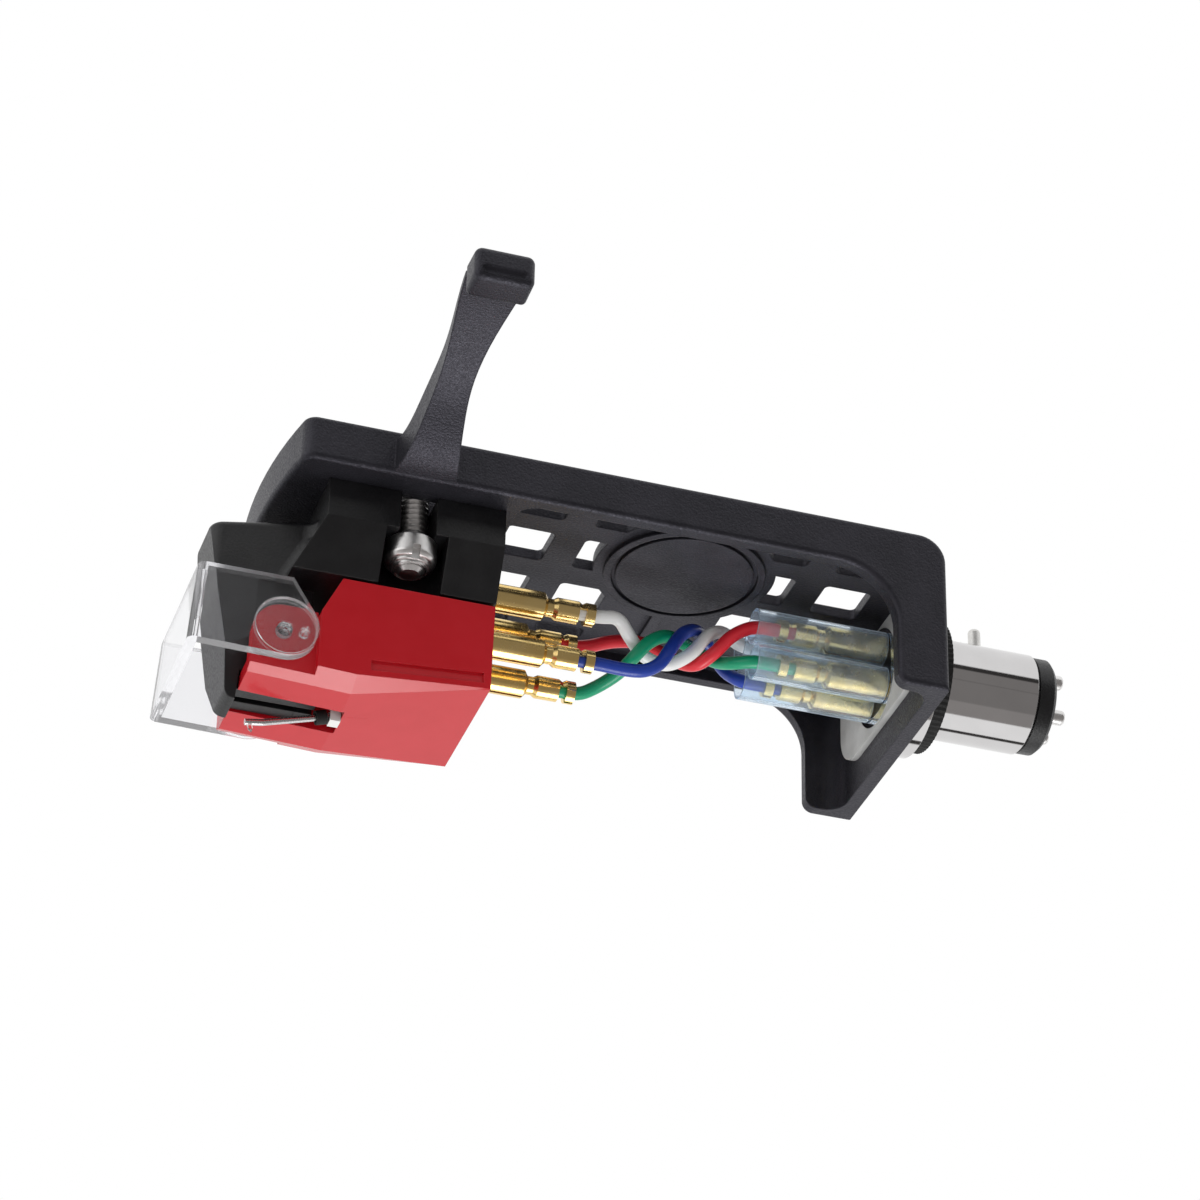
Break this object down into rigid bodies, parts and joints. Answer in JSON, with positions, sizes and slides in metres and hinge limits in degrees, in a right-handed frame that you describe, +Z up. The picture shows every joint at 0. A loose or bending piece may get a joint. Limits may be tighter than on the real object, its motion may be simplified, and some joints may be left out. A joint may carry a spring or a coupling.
{
  "type": "phono cartridge on a bayonet headshell",
  "caption": "Moving-magnet phono cartridge screwed to a bayonet headshell, with coloured leads, a pull-off red stylus holder and a clear flip-down guard.",
  "frame": {"origin": "on the stem axis, at the gasket face that seats on the tonearm socket", "axes": "+X along the stem towards its free end, +Z up in the playing position, finger lift on the -Y side"},
  "size_m": [0.0712, 0.0419, 0.0247],
  "materials": {
    "black_paint": "satin",
    "chrome": "polished",
    "nickel": "satin",
    "rubber": "matte",
    "black_plastic": "satin",
    "bare_plate": "grained",
    "red_plastic": "satin gloss",
    "clear_plastic": "clear",
    "bare_aluminium": "drawn",
    "stylus_tip": "polished",
    "white_plastic": "matte",
    "iron": "ground",
    "copper_winding": "enamelled",
    "gold_plate": "plated",
    "clear_sleeve": "soft clear",
    "white_insulation": "satin",
    "red_insulation": "satin",
    "green_insulation": "satin",
    "blue_insulation": "satin"
  },
  "bodies": {
    "cartridge_and_headshell": {"headshell": "black_paint", "stem_tube": "chrome", "key_pin": "nickel", "gasket": "rubber", "contact_insulator": "black_plastic", "stem_plate": "bare_plate", "mounting_screws": "nickel", "mounting_nuts": "nickel", "cartridge_body": "black_plastic", "terminal_plate": "black_plastic", "centre_shield": "bare_plate", "core_left": "iron", "coil_left": "copper_winding", "core_right": "iron", "coil_right": "copper_winding", "contact_pin_white": "nickel", "terminal_pin_white": "gold_plate", "cartridge_clip_white": "gold_plate", "headshell_clip_white": "gold_plate", "sleeve_white": "clear_sleeve", "lead_white": "white_insulation", "contact_pin_red": "nickel", "terminal_pin_red": "gold_plate", "cartridge_clip_red": "gold_plate", "headshell_clip_red": "gold_plate", "sleeve_red": "clear_sleeve", "lead_red": "red_insulation", "contact_pin_green": "nickel", "terminal_pin_green": "gold_plate", "cartridge_clip_green": "gold_plate", "headshell_clip_green": "gold_plate", "sleeve_green": "clear_sleeve", "lead_green": "green_insulation", "contact_pin_blue": "nickel", "terminal_pin_blue": "gold_plate", "cartridge_clip_blue": "gold_plate", "headshell_clip_blue": "gold_plate", "sleeve_blue": "clear_sleeve", "lead_blue": "blue_insulation"},
    "stylus_holder": {"stylus_holder": "red_plastic", "stylus_carrier": "white_plastic"},
    "stylus_guard": {"stylus_guard": "clear_plastic"},
    "damper": {"damper_ring": "rubber"},
    "stylus": {"cantilever": "bare_aluminium", "diamond_tip": "stylus_tip", "magnet_left": "iron", "magnet_right": "iron"}
  },
  "joints": [
    {"name": "stylus_release", "type": "slide", "parent": "cartridge_and_headshell", "child": "stylus_holder", "axis": [0, 0, -1], "range_m": [0, 0.008]},
    {"name": "guard_pivot", "type": "hinge", "parent": "stylus_holder", "child": "stylus_guard", "pos_m": [-0.05322, 0, -0.0091], "axis": [0, -1, 0], "range_deg": [0, 60]},
    {"name": "stylus_pitch", "type": "hinge", "parent": "stylus_holder", "child": "damper", "pos_m": [-0.0486, 0, -0.01243], "axis": [0, 1, 0], "range_deg": [-3, 3], "stiffness_Nm_per_rad": 0.0009},
    {"name": "stylus_yaw", "type": "hinge", "parent": "damper", "child": "stylus", "pos_m": [-0.0486, 0, -0.01243], "axis": [0, 0, 1], "range_deg": [-3, 3], "stiffness_Nm_per_rad": 0.0009}
  ]
}
